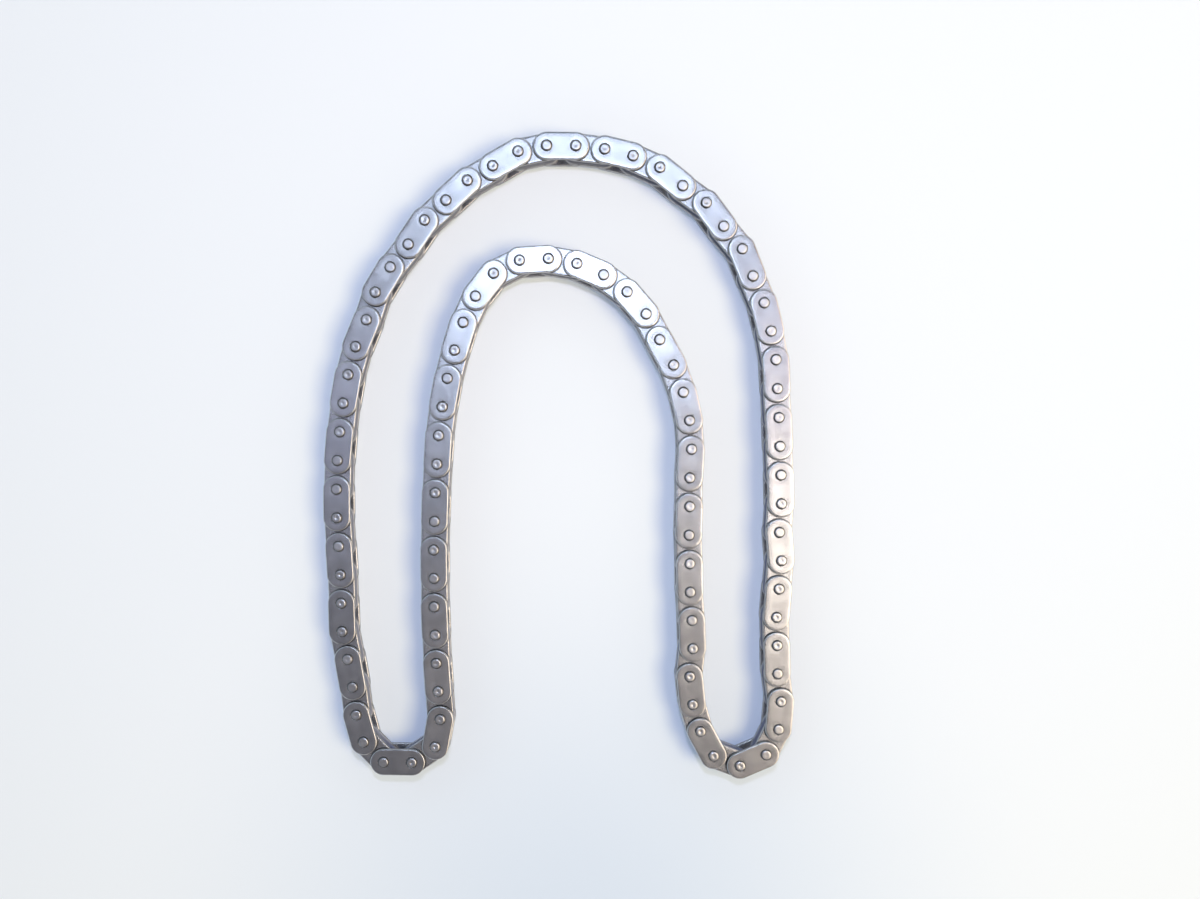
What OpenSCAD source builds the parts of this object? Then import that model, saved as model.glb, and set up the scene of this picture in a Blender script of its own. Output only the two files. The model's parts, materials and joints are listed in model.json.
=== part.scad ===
// Endless timing chain of small pitch: a bush chain with riveted pins, lying on its side.
// Outer links are two plates pressed onto two pins. Inner links are two plates pressed onto two
// bushes, and each bush turns on the pin inside it. The loop lies loose, bent into a horseshoe.
// It rests on the lower ends of its pins at z = 0, and the origin is below the middle of the loop.

/* [Chain] */
// Pitch: distance from one pin to the next
pitch = 6.35; // [6.2:0.05:9.5]
// Clear width between the two plates of an inner link, where a sprocket tooth goes
inner_width = 3.18; // [2:0.02:6.5]
/* [Plates] */
// Height of every plate, which is also the diameter of its round ends
plate_height = 5.95; // [4.6:0.05:6.1]
// Thickness of an outer plate
outer_plate_t = 1; // [0.6:0.05:1.6]
// Thickness of an inner plate
inner_plate_t = 1; // [0.6:0.05:1.6]
// Width of the bevel round the edges of a plate
plate_bevel = 0.22; // [0.05:0.01:0.28]
/* [Pins and bushes] */
// Diameter of a pin
pin_d = 2.31; // [1.6:0.01:2.6]
// Length of pin that stands out of each outer plate
pin_stand = 0.4; // [0.25:0.05:0.9]
// Width of the bevel round each end of a pin
pin_bevel = 0.2; // [0.05:0.01:0.24]
// Diameter of the dimple that spreads each pin end
dimple_d = 0.8; // [0.3:0.05:1]
// Depth of that dimple
dimple_depth = 0.15; // [0.05:0.01:0.3]
// Outer diameter of a bush
bush_d = 3.3; // [3.05:0.01:4]
/* [Clearances] */
// Clearance all round a pin in its bush
running_gap = 0.05; // [0.02:0.01:0.1]
// Clearance between an inner plate and the outer plate beside it
side_gap = 0.1; // [0.05:0.01:0.3]
// Gap that keeps two pieces that are pressed together apart as solids
press_gap = 0.02; // [0.01:0.005:0.04]

/* [Hidden] */
$fn = 64;

// Heights of the undersides of the plates, from the floor up
outer_low_z = pin_stand;
inner_low_z = outer_low_z + outer_plate_t + side_gap;
inner_high_z = inner_low_z + inner_plate_t + inner_width;
outer_high_z = inner_high_z + inner_plate_t + side_gap;
pin_length = outer_high_z + outer_plate_t + pin_stand;
bush_length = 2 * inner_plate_t + inner_width;
bush_bore = pin_d + 2 * running_gap;

// How the loop lies. Links are numbered clockwise from the outer link at the top of the outer
// arch, and pivot k joins link k to link k + 1. Each stretch is [number of pivots, turn at its
// odd pivots, turn at its even pivots], in degrees, where a turn to the left is positive.
OUTER_ARCH_RIGHT = [[2, -6, -7], [2, -10, -15], [4, 3, -18], [2, 1, -9], [2, -4, -7]];
OUTER_LEG_RIGHT = [[4, 0, -1], [2, -5, 8], [2, -9, 0], [3, 6, 0]];
TURN_RIGHT = [[2, -21, -12], [3, -44, -41], [3, -12, -10]];
INNER_LEG_RIGHT = [[2, 2, 8], [5, 1, -3]];
INNER_ARCH = [[4, 7, 9], [1, -1, 0], [5, 13, 13], [2, 23, 25], [2, 13, 8], [4, 3, 4]];
INNER_LEG_LEFT = [[9, 0, 2]];
TURN_LEFT = [[1, 0, -14], [3, -45, -35], [2, -8, -29]];
OUTER_LEG_LEFT = [[2, 1, 3], [1, 0, -9], [3, 0, 2], [5, -2, -3], [2, -5, -7]];
OUTER_ARCH_LEFT = [[2, 4, -13], [2, -7, 4], [4, -13, 0], [2, -18, -12]];
LAY = concat(
    OUTER_ARCH_RIGHT, OUTER_LEG_RIGHT, TURN_RIGHT, INNER_LEG_RIGHT,
    INNER_ARCH, INNER_LEG_LEFT, TURN_LEFT, OUTER_LEG_LEFT, OUTER_ARCH_LEFT
);

// Sums of the first 0, 1, 2 and so on up to all of some values
function running_sums(values, zero) = [
    for (i = 0, sum = zero; i <= len(values); sum = i < len(values) ? sum + values[i] : sum, i = i + 1)
        sum
];

// Pivots that lie before each stretch, and the turn that the list gives each pivot
STARTS = running_sums([for (stretch = LAY) stretch[0]], 0);
ROUGH_TURNS = [
    for (i = [0:len(LAY) - 1])
        for (k = [1:LAY[i][0]])
            (STARTS[i] + k) % 2 == 1 ? LAY[i][1] : LAY[i][2]
];
LINKS = len(ROUGH_TURNS);

// Direction of every link, and where each pivot is, both from the first link on
function headings(turns) = running_sums(turns, 0);
function route(angles) =
    running_sums([for (k = [0:LINKS - 1]) [cos(angles[k]), sin(angles[k])]], [0, 0]);

// Whole degrees leave the loop a little open. A small bend that grows evenly across the loop,
// [everywhere, along x, along y], is added to every pivot, so that the last link meets the first.
ROUGH_ROUTE = route(headings(ROUGH_TURNS));
function bent(bend) =
    [for (k = [0:LINKS - 1]) ROUGH_TURNS[k] + bend * [1, ROUGH_ROUTE[k + 1].x, ROUGH_ROUTE[k + 1].y]];
function opening(bend) =
    let (angles = headings(bent(bend)), end = route(angles)[LINKS])
    [angles[LINKS] + 360, end.x, end.y];
function solve(a, b, c, right) =
    [right * cross(b, c), a * cross(right, c), a * cross(b, right)] / (a * cross(b, c));
BEND_STEP = 0.001;
function slope(bend, way) = (opening(bend + BEND_STEP * way) - opening(bend)) / BEND_STEP;
function closed(bend, rounds) =
    rounds == 0 ? bend
    : closed(bend - solve(slope(bend, [1, 0, 0]), slope(bend, [0, 1, 0]), slope(bend, [0, 0, 1]),
        opening(bend)), rounds - 1);
ANGLES = headings(bent(closed([0, 0, 0], 6)));
ROUTE = pitch * route(ANGLES);

// The origin goes to the middle of the box round the loop
XS = [for (at = ROUTE) at.x];
YS = [for (at = ROUTE) at.y];
MIDDLE = [min(XS) + max(XS), min(YS) + max(YS)] / 2;
PIVOTS = [for (at = ROUTE) at - MIDDLE];

// Links that are bodies of their own: the two at the top, and those round the two tight turns.
// Elsewhere an outer link and the inner link after it, or before it, make one body.
RIGHT_TURN_LINKS = [25:30];
LEFT_TURN_LINKS = [67:72];
SPANS = concat(
    [for (k = [3:2:23]) [k, k + 1]],
    [for (k = RIGHT_TURN_LINKS) [k, k]],
    [for (k = [31:2:65]) [k, k + 1]],
    [for (k = LEFT_TURN_LINKS) [k, k]],
    [for (k = [73:2:LINKS - 1]) [k, k + 1]]
);
function is_outer(link) = link % 2 == 1;
function two_digits(number) = number < 10 ? str("0", number) : str(number);
function single_name(link) = str(is_outer(link) ? "outer_link_" : "inner_link_", two_digits(link));
function span_name(span) =
    span[0] == span[1] ? single_name(span[0])
    : str("links_", two_digits(span[0]), "_", two_digits(span[1]));

// Half of a plate's outline seen edge-on, from its middle line to its edge
function half_section(thickness) = [
    [0, 0],
    [plate_height / 2 - plate_bevel, 0],
    [plate_height / 2, plate_bevel],
    [plate_height / 2, thickness - plate_bevel],
    [plate_height / 2 - plate_bevel, thickness],
    [0, thickness]
];

// One plate from pin to pin along x: a straight middle and two round ends, with two holes
module plate(thickness, hole_d) {
    difference() {
        union() {
            for (side = [0, 1])
                mirror([0, side, 0]) rotate([90, 0, 90]) linear_extrude(pitch)
                    polygon(half_section(thickness));
            rotate([0, 0, 90]) plate_end(thickness);
            translate([pitch, 0, 0]) rotate([0, 0, -90]) plate_end(thickness);
        }
        for (x = [0, pitch])
            translate([x, 0, -thickness]) cylinder(d = hole_d, h = 3 * thickness);
    }
}

// Round end of a plate: its half outline turned half way round
module plate_end(thickness) {
    rotate_extrude(angle = 180) polygon(half_section(thickness));
}

module outer_plate(z) {
    color("silver") translate([0, 0, z]) plate(outer_plate_t, pin_d + 2 * press_gap);
}

module inner_plate(z) {
    color("darkgray") translate([0, 0, z]) plate(inner_plate_t, bush_d + 2 * press_gap);
}

// Pin with a bevelled rim and a dimple at both ends, standing on the floor
module pin(x) {
    color("gainsboro") translate([x, 0, 0]) rotate_extrude() polygon([
        [0, dimple_depth],
        [dimple_d / 2, 0],
        [pin_d / 2 - pin_bevel, 0],
        [pin_d / 2, pin_bevel],
        [pin_d / 2, pin_length - pin_bevel],
        [pin_d / 2 - pin_bevel, pin_length],
        [dimple_d / 2, pin_length],
        [0, pin_length - dimple_depth]
    ]);
}

// Bush, flush with the outside of both inner plates
module bush(x) {
    color("dimgray") translate([x, 0, inner_low_z]) difference() {
        cylinder(d = bush_d, h = bush_length);
        translate([0, 0, -bush_length]) cylinder(d = bush_bore, h = 3 * bush_length);
    }
}

module outer_link() {
    outer_plate(outer_low_z);
    outer_plate(outer_high_z);
    pin(0);
    pin(pitch);
}

module inner_link() {
    inner_plate(inner_low_z);
    inner_plate(inner_high_z);
    bush(0);
    bush(pitch);
}

// Puts what is drawn along x, from a pivot at the origin, in the place of a link
module in_place(link) {
    translate(PIVOTS[link - 1]) rotate([0, 0, ANGLES[link - 1]]) children();
}

module link(number) {
    in_place(number) {
        if (is_outer(number)) outer_link();
        else inner_link();
    }
}

in_place(1) outer_plate(outer_high_z);  // outer_link_01_upper_plate
in_place(1) outer_plate(outer_low_z);  // outer_link_01_lower_plate
in_place(1) pin(0);  // outer_link_01_left_pin
in_place(1) pin(pitch);  // outer_link_01_right_pin
in_place(2) inner_plate(inner_high_z);  // inner_link_02_upper_plate
in_place(2) inner_plate(inner_low_z);  // inner_link_02_lower_plate
in_place(2) bush(0);  // inner_link_02_left_bush
in_place(2) bush(pitch);  // inner_link_02_right_bush
for (span = SPANS)
    for (k = [span[0]:span[1]]) link(k);
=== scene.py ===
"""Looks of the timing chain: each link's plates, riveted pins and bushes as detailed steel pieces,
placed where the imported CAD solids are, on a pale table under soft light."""

import json
import math

import bmesh
import bpy
import numpy as np
from mathutils import Matrix, Vector


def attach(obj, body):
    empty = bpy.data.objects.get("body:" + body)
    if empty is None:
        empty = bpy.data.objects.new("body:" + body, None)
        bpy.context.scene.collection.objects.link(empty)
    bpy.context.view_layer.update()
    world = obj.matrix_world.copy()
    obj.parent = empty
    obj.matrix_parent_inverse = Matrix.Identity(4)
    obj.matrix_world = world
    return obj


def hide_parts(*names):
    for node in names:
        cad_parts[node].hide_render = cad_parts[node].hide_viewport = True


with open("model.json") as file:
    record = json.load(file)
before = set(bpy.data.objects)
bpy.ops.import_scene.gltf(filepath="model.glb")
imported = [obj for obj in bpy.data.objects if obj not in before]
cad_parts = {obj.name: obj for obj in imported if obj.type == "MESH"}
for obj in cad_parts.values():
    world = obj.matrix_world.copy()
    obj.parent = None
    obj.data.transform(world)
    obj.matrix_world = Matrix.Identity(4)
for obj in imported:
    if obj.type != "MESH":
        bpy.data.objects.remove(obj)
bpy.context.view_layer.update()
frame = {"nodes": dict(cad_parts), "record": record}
scene = bpy.context.scene
NODES_OF = frame["record"]["behaviour"]["bodies"]
MM = 0.001

# sizes in millimetres, as in part.scad
PITCH = 6.35
PLATE_R, PLATE_T = 2.975, 1
OUTER_LOW, INNER_LOW, INNER_HIGH, OUTER_HIGH = 0.4, 1.5, 5.68, 6.78  # undersides of the plates
PIN_R, PIN_LENGTH, PIN_HOLE = 1.155, 8.18, 2.35
BUSH_R, BUSH_BORE_R, BUSH_LENGTH, BUSH_HOLE = 1.65, 1.205, 5.18, 3.34


# ---------------------------------------------------------------- where the links are
def islands(node):
    """Loose solids of a CAD node as (middle, size) pairs, in millimetres."""
    mesh = frame["nodes"][node].data
    where = {}
    keys = np.empty(len(mesh.vertices), int)
    points = np.array([v.co for v in mesh.vertices]) / MM
    for i, p in enumerate(np.round(points, 4)):
        keys[i] = where.setdefault(tuple(p), len(where))
    parent = list(range(len(where)))

    def root(i):
        while parent[i] != i:
            parent[i] = parent[parent[i]]
            i = parent[i]
        return i

    for poly in mesh.polygons:
        first = root(keys[poly.vertices[0]])
        for v in poly.vertices[1:]:
            parent[root(keys[v])] = first
    groups = {}
    for i, k in enumerate(keys):
        groups.setdefault(root(k), []).append(i)
    out = []
    for g in groups.values():
        low, high = points[g].min(0), points[g].max(0)
        out.append(((low + high) / 2, high - low))
    return out


# a body is an outer link, an inner link or both, and its pins and bushes tell where they are
LINKS = []  # (kind, body, first pivot, second pivot)
for body, nodes in NODES_OF.items():
    solids = [solid for node in nodes for solid in islands(node)]
    for kind, height in (("outer", PIN_LENGTH), ("inner", BUSH_LENGTH)):
        pivots = [middle[:2] for middle, size in solids if abs(size[2] - height) < 0.05]
        if pivots:
            a, b = pivots
            LINKS.append((kind, body, a, b))


def place(a, b):
    """Link frame: origin at the first pivot, x towards the second, in metres."""
    d = b - a
    turn = Matrix.Rotation(math.atan2(d[1], d[0]), 4, "Z")
    return Matrix.Translation((a[0] * MM, a[1] * MM, 0)) @ turn


# ---------------------------------------------------------------- mesh building
def stadium(bm, inset, z, segments=22):
    """Ring of vertices round a plate, inset from its outline."""
    r = PLATE_R - inset
    ring = []
    for cx, start in ((PITCH, -math.pi / 2), (0, math.pi / 2)):
        for i in range(segments + 1):
            t = start + math.pi * i / segments
            at = (cx + r * math.cos(t)) * MM, r * math.sin(t) * MM, z * MM
            ring.append(bm.verts.new(at))
    return ring


def circle(bm, cx, r, z, segments=40):
    """Ring of vertices round the axis at x = cx."""
    return [
        bm.verts.new(((cx + r * math.cos(2 * math.pi * i / segments)) * MM,
                      r * math.sin(2 * math.pi * i / segments) * MM, z * MM))
        for i in range(segments)
    ]


def bridge(bm, a, b):
    """Faces between two rings that have equally many vertices."""
    n = len(a)
    for i in range(n):
        bm.faces.new((a[i], a[(i + 1) % n], b[(i + 1) % n], b[i]))


def ring_edges(ring):
    n = len(ring)
    return [next(e for e in ring[i].link_edges if e.other_vert(ring[i]) is ring[(i + 1) % n])
            for i in range(n)]


def quarter(width, depth, steps):
    """Rounded edge from the flat to the side: (inset, drop) pairs."""
    return [(width * (1 - math.sin(t)), depth * (1 - math.cos(t)))
            for t in (math.pi / 2 * i / steps for i in range(steps + 1))]


# how a plate is rounded, in millimetres
FACE_EDGE, BACK_EDGE = (0.26, 0.22), (0.26, 0.24)   # (width, depth) of its edges
FALL = [(0.34, 0.0), (0.22, 0.001), (0.10, 0.004)]  # (inset beyond the edge, drop) of its faces
EDGE_DROP = 0.007                                   # drop where the edge begins
LIP, LIP_DEPTH = 0.10, 0.24                         # rim of a hole
DISH = [(0.58, 0.0), (0.50, 0.001), (0.02, 0.009)]  # (width beyond the rim, drop) round a hole


def plate(bm, low, hole_d, face_up):
    """Stamped and tumbled plate. Its faces fall away a little towards the rounded edge."""
    top = low + PLATE_T
    up, down = (FACE_EDGE, BACK_EDGE) if face_up else (BACK_EDGE, FACE_EDGE)
    outline = [stadium(bm, up[0] + i, top - d) for i, d in FALL]
    outline += [stadium(bm, i, top - EDGE_DROP - d) for i, d in quarter(*up, 6)]
    outline += [stadium(bm, i, low + EDGE_DROP + d) for i, d in reversed(quarter(*down, 6))]
    outline += [stadium(bm, down[0] + i, low + d) for i, d in reversed(FALL)]
    for a, b in zip(outline, outline[1:]):
        bridge(bm, a, b)
    rim = quarter(LIP, LIP_DEPTH, 4)
    dish_end, dish_drop = DISH[-1]
    holes = []
    for cx in (0, PITCH):
        r = hole_d / 2
        rings = [circle(bm, cx, r + LIP + i, top - d) for i, d in DISH]
        rings += [circle(bm, cx, r + i, top - dish_drop - d) for i, d in rim]
        rings += [circle(bm, cx, r + i, low + d) for i, d in reversed(rim)]
        rings += [circle(bm, cx, r + LIP + dish_end, low)]
        for a, b in zip(rings, rings[1:]):
            bridge(bm, b, a)
        holes.append(rings)
    for end, facing in ((0, 1), (-1, -1)):
        edges = ring_edges(outline[end]) + [e for h in holes for e in ring_edges(h[end])]
        bmesh.ops.triangle_fill(bm, use_beauty=True, use_dissolve=False, edges=edges,
                                normal=(0, 0, facing))


def lathe(bm, cx, profile, segments=48):
    """Turns (radius, z) points round the axis at x = cx. A radius of 0 closes the end."""
    rings = []
    for r, z in profile:
        if r == 0:
            rings.append([bm.verts.new((cx * MM, 0, z * MM))])
        else:
            rings.append(circle(bm, cx, r, z, segments))
    for a, b in zip(rings, rings[1:]):
        n = max(len(a), len(b))
        for i in range(n):
            j = (i + 1) % n
            corners = []
            for v in (a[i % len(a)], a[j % len(a)], b[j % len(b)], b[i % len(b)]):
                if v not in corners:
                    corners.append(v)
            bm.faces.new(corners)


HEAD_FACE = [(0.70, 0.0), (0.79, 0.001), (0.87, 0.010), (0.935, 0.025)]  # (radius, drop)
RIM_START, RIM_START_DROP = 0.98, 0.042
RIM, RIM_DEPTH, HEAD_DEPTH = 0.175, 0.21, 0.45


def pin_profile(mark_r, mark_depth):
    """Riveted pin: a rounded rim, a slightly domed face and the mark of the riveting punch."""
    end = [(0, mark_depth)]
    end += [(mark_r * q, mark_depth * (1 + math.cos(math.pi * q)) / 2)
            for q in (0.25, 0.5, 0.75, 1.0)]
    end += HEAD_FACE + [(RIM_START, RIM_START_DROP)]
    end += [(RIM_START + RIM * math.sin(t), RIM_START_DROP + RIM_DEPTH * (1 - math.cos(t)))
            for t in (math.pi / 2 * i / 6 for i in range(1, 7))]
    end += [(PIN_R, HEAD_DEPTH)]
    return end + [(r, PIN_LENGTH - z) for r, z in reversed(end)]


def bush_profile(chamfer=0.09):
    """Bush with chamfered rims inside and outside."""
    low, high = INNER_LOW, INNER_LOW + BUSH_LENGTH
    bore, side = BUSH_BORE_R, BUSH_R
    return [(bore, low + chamfer), (bore + chamfer, low),
            (side - chamfer, low), (side, low + chamfer),
            (side, high - chamfer), (side - chamfer, high),
            (bore + chamfer, high), (bore, high - chamfer),
            (bore, low + chamfer)]


def mesh_of(name, build):
    """Mesh of what a function builds, smooth between its sharp edges."""
    bm = bmesh.new()
    build(bm)
    bmesh.ops.remove_doubles(bm, verts=bm.verts, dist=1e-7)
    bmesh.ops.recalc_face_normals(bm, faces=bm.faces)
    mesh = bpy.data.meshes.new(name)
    bm.to_mesh(mesh)
    bm.free()
    mesh.shade_smooth()
    mesh.set_sharp_from_angle(angle=math.radians(42))
    return mesh


def outer_plates(bm):
    plate(bm, OUTER_LOW, PIN_HOLE, False)
    plate(bm, OUTER_HIGH, PIN_HOLE, True)


def inner_plates(bm):
    plate(bm, INNER_LOW, BUSH_HOLE, False)
    plate(bm, INNER_HIGH, BUSH_HOLE, True)


def bushes(bm):
    for x in (0, PITCH):
        lathe(bm, x, bush_profile())


MARKS = [(0.34, 0.012), (0.50, 0.035), (0.42, 0.060)]  # (radius, depth): punches differ a little


def pins(kind):
    """Function that builds a link's two pins, with a mark of one kind and one of the next."""
    def build(bm):
        lathe(bm, 0, pin_profile(*MARKS[kind]))
        lathe(bm, PITCH, pin_profile(*MARKS[(kind + 1) % len(MARKS)]))
    return build


PINS = [mesh_of("pins_%d" % kind, pins(kind)) for kind in range(len(MARKS))]
MESHES = {
    "outer_plates": mesh_of("outer_plates", outer_plates),
    "inner_plates": mesh_of("inner_plates", inner_plates),
    "bushes": mesh_of("bushes", bushes),
}


# ---------------------------------------------------------------- node trees
class Tree:
    """Nodes of a material or of the world. An input is another node's output or a plain value."""

    def __init__(self, owner):
        owner.use_nodes = True
        self.nodes, self.links = owner.node_tree.nodes, owner.node_tree.links

    def feed(self, socket, value):
        if isinstance(value, bpy.types.NodeSocket):
            self.links.new(value, socket)
        else:
            socket.default_value = value

    def add(self, kind, output, inputs=None, **settings):
        """Adds a node with its settings, feeds its inputs and returns one of its outputs."""
        node = self.nodes.new("ShaderNode" + kind)
        for name, value in settings.items():
            setattr(node, name, value)
        for key, value in (inputs or {}).items():
            self.feed(node.inputs[key], value)
        return node.outputs[output]

    def math(self, operation, a, b=0):
        return self.add("Math", "Value", {0: a, 1: b}, operation=operation)

    def plus(self, a, b):
        return self.math("ADD", a, b)

    def times(self, a, b):
        return self.math("MULTIPLY", a, b)

    def rest(self, a):
        """What is missing from 1."""
        return self.math("SUBTRACT", 1.0, a)

    def off(self, a, middle):
        """How far a value is from a middle value."""
        return self.math("ABSOLUTE", self.math("SUBTRACT", a, middle))

    def vector(self, operation, a, b=(0, 0, 0), output="Vector"):
        return self.add("VectorMath", output, {0: a, 1: b}, operation=operation)

    def axis(self, vector, name):
        return self.add("SeparateXYZ", name, {"Vector": vector})

    def remap(self, value, low, high, new_low=0, new_high=1, curve="LINEAR"):
        inputs = {"Value": value, "From Min": low, "From Max": high,
                  "To Min": new_low, "To Max": new_high}
        return self.add("MapRange", "Result", inputs, interpolation_type=curve)

    def mix(self, factor, a, b):
        """Colour a where the factor is 0, and b where it is 1."""
        node = self.nodes.new("ShaderNodeMix")
        node.data_type = "RGBA"
        self.feed(node.inputs["Factor"], factor)
        sockets = {i.name: i for i in node.inputs if i.type == "RGBA"}
        for name, value in (("A", a), ("B", b)):
            self.feed(sockets[name], (*value, 1) if isinstance(value, tuple) else value)
        return next(o for o in node.outputs if o.type == "RGBA")

    def ramp(self, factor, *stops):
        """Colours between (place, colour) stops."""
        node = self.nodes.new("ShaderNodeValToRGB")
        self.feed(node.inputs["Fac"], factor)
        elements = node.color_ramp.elements
        elements.remove(elements[-1])
        elements[0].position, elements[0].color = stops[0][0], (*stops[0][1], 1)
        for at, color in stops[1:]:
            elements.new(at).color = (*color, 1)
        return node.outputs["Color"]


# ---------------------------------------------------------------- steels
TONE = 0.05                     # how much lighter or darker than the others a link may be
BLOTCH_ROUGH, FINE_ROUGH, SCRATCH_ROUGH = 0.006, 0.003, 0.008  # small differences of roughness
BUMP, BUMP_HEIGHT = 0.012, 0.0002
EDGE_ROUGH = 0.2                # how much rougher the blanked edges are than the tumbled faces
# where the painted shade at a plate's end begins and where it is full
END_START, END_FULL = 2.2, 2.7  # a plate's end, in millimetres beyond the pin axis
# the rougher, less metallic steel and the painted dark blue shade in the tooth gap: full up to so
# many millimetres from its middle, gone beyond so many
GAP_FULL, GAP_NONE = 1.60, 1.66
GAP_ROUGH, GAP_METALLIC, GAP_SHADE_COLOR = 0.32, 0.35, (0.24, 0.26, 0.35)


def crevice_shade_left(tree, at, level, start, end, at_start, at_end, cut=0, on_walls=0):
    """Share of the tone that the painted shade in a crevice leaves. It goes from at_start to
    at_end between two distances from the nearer pin axis, in millimetres, and there is no painted
    shade nearer than cut. on_walls is how much of the painted shade lies on upright walls."""
    flat = tree.vector("MULTIPLY", at, (1, 1, 0))
    from_axis = [tree.vector("DISTANCE", flat, (x * MM, 0, 0), "Value") for x in (0, PITCH)]
    near = tree.math("MINIMUM", *from_axis)
    left = tree.remap(near, start * MM, end * MM, at_start, at_end, "SMOOTHSTEP")
    share = tree.times(tree.math("GREATER_THAN", near, cut * MM),
                       tree.remap(level, 0, 1, on_walls, 1.0))
    return tree.rest(tree.times(tree.rest(left), share))


def steel(name, color, rough, grain, crevice_shade=None, walls=1.0, ends=1.0, hidden=False):
    """Tumbled steel: faint grain along the link, soft blotches, fine scratches and dull spots.

    oil is what crevice_shade_left is told: painted shade in a crevice. walls is the share of the
    tone left on upright walls, partly duller steel and partly painted shade, and ends the share of
    that at a plate's ends, painted shade where two ends nearly touch. hidden says that some faces
    look into the tooth gap, where they take a painted dark blue shade."""
    m = bpy.data.materials.new(name)
    tree = Tree(m)
    plus, times = tree.plus, tree.times
    bsdf = tree.nodes["Principled BSDF"].inputs
    bsdf["Metallic"].default_value = 1.0
    bsdf["IOR"].default_value = 2.5
    at = tree.add("TexCoord", "Object")
    # 0 on upright walls, 1 on level faces
    level = tree.math("ABSOLUTE", tree.axis(tree.add("TexCoord", "Normal"), "Z"))
    link_random = tree.add("ObjectInfo", "Random")
    shift = tree.vector("MULTIPLY", link_random, (3.1, 1.7, 2.3))

    def noise(scale, detail, roughness=0.5):
        moved = tree.add("Mapping", "Vector", {"Vector": at, "Location": shift, "Scale": scale})
        inputs = {"Vector": moved, "Scale": 1.0, "Detail": detail, "Roughness": roughness}
        return tree.add("TexNoise", "Fac", inputs)

    def spread(value, middle, by):
        """Noise, which lies mostly between 0.3 and 0.7, spread to both sides of a middle value."""
        return tree.remap(value, 0.3, 0.7, middle - by, middle + by)

    along = noise((60, 900, 900), 1)          # streaks along the link
    blotch = noise((340, 340, 340), 1)        # soft tumbling blotches
    fine = noise((2600, 2600, 2600), 4, 0.6)  # matt micro texture
    scratch = noise((240, 5200, 5200), 2, 0.7)

    tone = plus(plus(spread(blotch, 0, 1.6 * TONE),
                     plus(spread(along, 0, TONE * grain),
                          tree.remap(link_random, 0, 1, -TONE, TONE))), 1.0)
    r = plus(spread(fine, 0, FINE_ROUGH),
             plus(spread(blotch, rough, BLOTCH_ROUGH),
                  tree.remap(scratch, 0.55, 0.8, 0.0, SCRATCH_ROUGH)))
    # painted shade in the crevices round the pins and where plates overlap
    if crevice_shade:
        tone = times(tone, crevice_shade_left(tree, at, level, **crevice_shade))
    if walls < 1:
        # a plate's blanked edge is rougher than its face, and darker: partly duller steel, partly
        # painted shade. It is darkest where two ends nearly touch, with painted shade
        off_middle = tree.off(tree.axis(at, "X"), PITCH / 2 * MM)
        left = tree.remap(off_middle, (PITCH / 2 + END_START) * MM, (PITCH / 2 + END_FULL) * MM,
                          walls, walls * ends)
        on_edge = tree.remap(level, 0.25, 0.7, 1.0, 0.0)
        tone = times(tone, tree.rest(times(on_edge, tree.rest(left))))
        r = plus(r, times(on_edge, EDGE_ROUGH))
    base = tree.add("VectorMath", "Vector", {0: color, "Scale": tone}, operation="SCALE")
    if hidden:
        # faces that look into the tooth gap were never tumbled bright: they are rougher and less
        # metallic, and painted a dark blue shade for the shadow in the gap
        off_middle = tree.off(tree.axis(at, "Z"), PIN_LENGTH / 2 * MM)
        dull = tree.remap(off_middle, GAP_FULL * MM, GAP_NONE * MM, 1.0, 0.0)
        r = plus(r, times(dull, GAP_ROUGH))
        tree.feed(bsdf["Metallic"], tree.remap(dull, 0, 1, 1.0, GAP_METALLIC))
        base = tree.mix(dull, base, GAP_SHADE_COLOR)
    tree.feed(bsdf["Base Color"], base)
    tree.feed(bsdf["Roughness"], r)

    height = plus(times(along, 0.12 * grain), plus(times(blotch, 0.6), times(fine, 0.006)))
    bump = {"Strength": BUMP, "Distance": BUMP_HEIGHT, "Height": height}
    tree.feed(bsdf["Normal"], tree.add("Bump", "Normal", bump))
    return m


STEELS = {
    # with a ring of painted shade in the lip of each pin hole
    "outer_plates": steel("outer_plate_steel", (0.60, 0.60, 0.61), 0.25, 0.5,
                          crevice_shade={"start": 1.20, "end": 1.33, "at_start": 0.10, "at_end": 1.0},
                          walls=0.58, ends=0.12),
    # with a line of painted shade where the end of the outer plate lies on it
    "inner_plates": steel("inner_plate_steel", (0.58, 0.58, 0.59), 0.27, 0.5,
                          crevice_shade={"start": 2.98, "end": 3.27, "at_start": 0.08, "at_end": 1.0,
                               "cut": 2.98},
                          walls=0.62, ends=0.8, hidden=True),
    # with a ring of painted shade round the rim of each head
    "pins": steel("pin_steel", (0.70, 0.70, 0.71), 0.29, 0.2,
                  crevice_shade={"start": 0.94, "end": 1.04, "at_start": 1.0, "at_end": 0.10,
                       "on_walls": 0.4}),
    "bushes": steel("bush_steel", (0.63, 0.62, 0.62), 0.30, 0.3, hidden=True),
}
for kind, mesh in list(MESHES.items()) + [("pins", mesh) for mesh in PINS]:
    mesh.materials.append(STEELS[kind])

# ---------------------------------------------------------------- the links
for i, (kind, body, a, b) in enumerate(LINKS):
    for slot in (("outer_plates", "pins") if kind == "outer" else ("inner_plates", "bushes")):
        # the kinds of mark come in an order that shows no rhythm
        mesh = PINS[(i * i + i // 3) % len(PINS)] if slot == "pins" else MESHES[slot]
        piece = bpy.data.objects.new("%s_%s" % (body, slot), mesh)
        scene.collection.objects.link(piece)
        piece.matrix_world = place(a, b)
        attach(piece, body)
        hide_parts(*NODES_OF[body])

# ---------------------------------------------------------------- table
FLOOR_Z = -0.00003  # just under the pins' lower ends
SHADE_AT, SHADE_R = (0.008, -0.115, 0), 0.115
FAR_START, FAR_FULL = 0.22, 1.0


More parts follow.
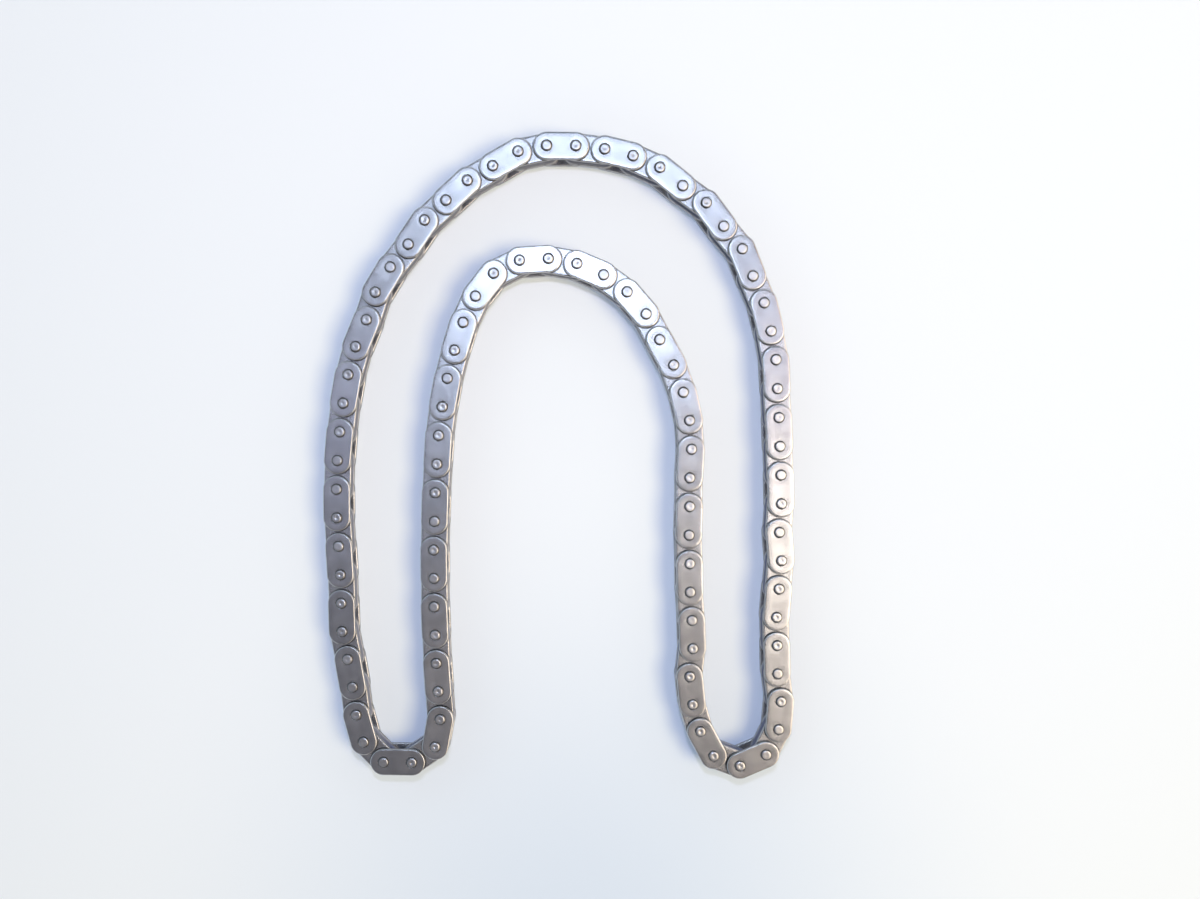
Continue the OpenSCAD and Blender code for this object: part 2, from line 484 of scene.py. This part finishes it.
def table_top():
    """Pale table, which the camera and the steel see partly as a glow: pale far away, and near the
    chain a dim blue painted light that lifts its shadows.
    """
    m = bpy.data.materials.new("table_top")
    tree = Tree(m)
    bsdf = tree.nodes["Principled BSDF"].inputs
    bsdf["Roughness"].default_value = 0.9
    bsdf["Specular IOR Level"].default_value = 0.1
    at = tree.add("TexCoord", "Object")
    # a soft bluish painted shadow lies on the table in front of the chain
    off_shade = tree.vector("DISTANCE", at, SHADE_AT, "Value")
    shade = tree.mix(tree.remap(off_shade, 0, SHADE_R, curve="SMOOTHSTEP"),
                     (0.79, 0.84, 0.91), (1, 1, 1))
    # far from the chain the table's pale glow takes over, so that no lamp's pool shows
    away = tree.vector("LENGTH", at, output="Value")
    far = tree.remap(away, FAR_START, FAR_FULL, curve="SMOOTHSTEP")
    # painted light: near the chain the table is painted a little lighter towards the right, the
    # key lamp's side
    near_color = tree.ramp(tree.remap(tree.axis(at, "X"), -0.13, 0.13),
                           (0, (0.68, 0.68, 0.67)), (1, (0.73, 0.725, 0.715)))
    lit = tree.mix(far, tree.vector("MULTIPLY", near_color, shade), (0.17, 0.17, 0.18))
    # painted light: near the chain the table glows a dim blue, which lifts and tints its shadows
    glow_color = tree.ramp(far, (0, (0.10, 0.14, 0.22)), (1, (0.76, 0.78, 0.82)))
    path = tree.nodes.new("ShaderNodeLightPath").outputs
    seen = tree.math("MAXIMUM", path["Is Camera Ray"], path["Is Glossy Ray"])
    seen = tree.math("MAXIMUM", seen, path["Is Transmission Ray"])
    tree.feed(bsdf["Base Color"], lit)
    tree.feed(bsdf["Emission Color"], tree.vector("MULTIPLY", glow_color, shade))
    tree.feed(bsdf["Emission Strength"], seen)
    return m


bpy.ops.mesh.primitive_circle_add(vertices=96, radius=6, fill_type="NGON",
                                  location=(0, 0, FLOOR_Z))
floor = bpy.context.object
floor.name = "table"
floor.data.materials.append(table_top())


# ---------------------------------------------------------------- room
def room(world):
    """Room that the steel mirrors: a cool side at the back left and a warm one at the front
    right. The camera sees a plain pale backdrop in its place."""
    tree = Tree(world)
    way = tree.add("TexCoord", "Generated")
    up = tree.axis(way, "Z")  # 0 at the horizon, 1 straight above
    cool = tree.ramp(up, (0.08, (0.30, 0.35, 0.45)), (0.20, (0.71, 0.92, 1.08)),
                     (0.58, (0.71, 0.92, 1.08)), (0.72, (0.265, 0.272, 0.325)))
    warm = tree.ramp(up, (0.08, (1.00, 0.95, 0.90)), (0.20, (0.70, 0.62, 0.54)),
                     (0.58, (0.66, 0.58, 0.50)), (0.72, (0.02, 0.02, 0.02)))
    to_front_right = tree.vector("DOT_PRODUCT", way, (0.8, -0.6, 0), "Value")
    mirrored = tree.mix(tree.remap(to_front_right, -1, 1), cool, warm)
    seen = tree.mix(tree.add("LightPath", "Is Camera Ray"), mirrored, (0.86, 0.88, 0.92))
    tree.feed(tree.nodes["Background"].inputs["Color"], seen)


scene.world = bpy.data.worlds.new("soft_room")
room(scene.world)


# ---------------------------------------------------------------- lamps
def lamp(name, at, size, watts, color, aimed=False):
    """Rectangular lamp that shines straight down, or is aimed at the middle of the table."""
    data = bpy.data.lights.new(name, "AREA")
    data.shape = "RECTANGLE"
    data.size, data.size_y = size
    data.energy = watts
    data.color = color
    ob = bpy.data.objects.new(name, data)
    scene.collection.objects.link(ob)
    ob.location = at
    if aimed:
        ob.rotation_euler = (-Vector(at)).to_track_quat("-Z", "Y").to_euler()
    ob.visible_camera = False
    return ob


# lamps high up that the level faces mirror, for the white of the arches and the right leg
lamp("overhead", (0.003, 0.275, 1.5), (0.22, 0.22), 1.70, (0.64, 0.76, 1.0))
lamp("overhead_right_back", (0.42, 0.12, 1.5), (0.2, 0.2), 0.27, (0.74, 0.70, 1.0))
lamp("overhead_right", (0.46, -0.12, 1.5), (0.2, 0.28), 1.50, (1.0, 0.89, 0.76))
lamp("overhead_left", (-0.36, 0.06, 1.5), (0.2, 0.2), 0.10, (0.62, 0.65, 1.0))
lamp("overhead_low", (-0.07, -0.30, 1.5), (0.2, 0.2), 0.052, (1.0, 0.82, 0.62))
# warm light that only the steel takes
panel = lamp("side_panel", (0.84, -0.09, 1.00), (1.2, 0.84), 8.4, (1.0, 0.80, 0.57), aimed=True)
panel.visible_diffuse = False
# the table's light, which the steel doesn't mirror
key = lamp("key", (0.72, -0.22, 1.30), (0.6, 0.6), 14.3, (0.96, 0.84, 0.48), aimed=True)
torch = lamp("torch", (0.003, 0.088, 0.36), (0.02, 0.02), 0.45, (0.625, 0.667, 1.0))
key.visible_glossy = torch.visible_glossy = False

# ---------------------------------------------------------------- camera, as fitted to the photo
camera = bpy.data.cameras.new("camera")
camera.sensor_width = 36
camera.lens = 38.4
camera.shift_x, camera.shift_y = 0.0217, 0.0729
camera.clip_start, camera.clip_end = 0.01, 50
eye = bpy.data.objects.new("camera", camera)
scene.collection.objects.link(eye)
eye.location = (2.61 * MM, 1.45 * MM, 291.21 * MM)
eye.rotation_euler = [math.radians(v) for v in (-3.737, -0.049, 0.473)]
scene.camera = eye
scene.view_settings.view_transform = "Standard"
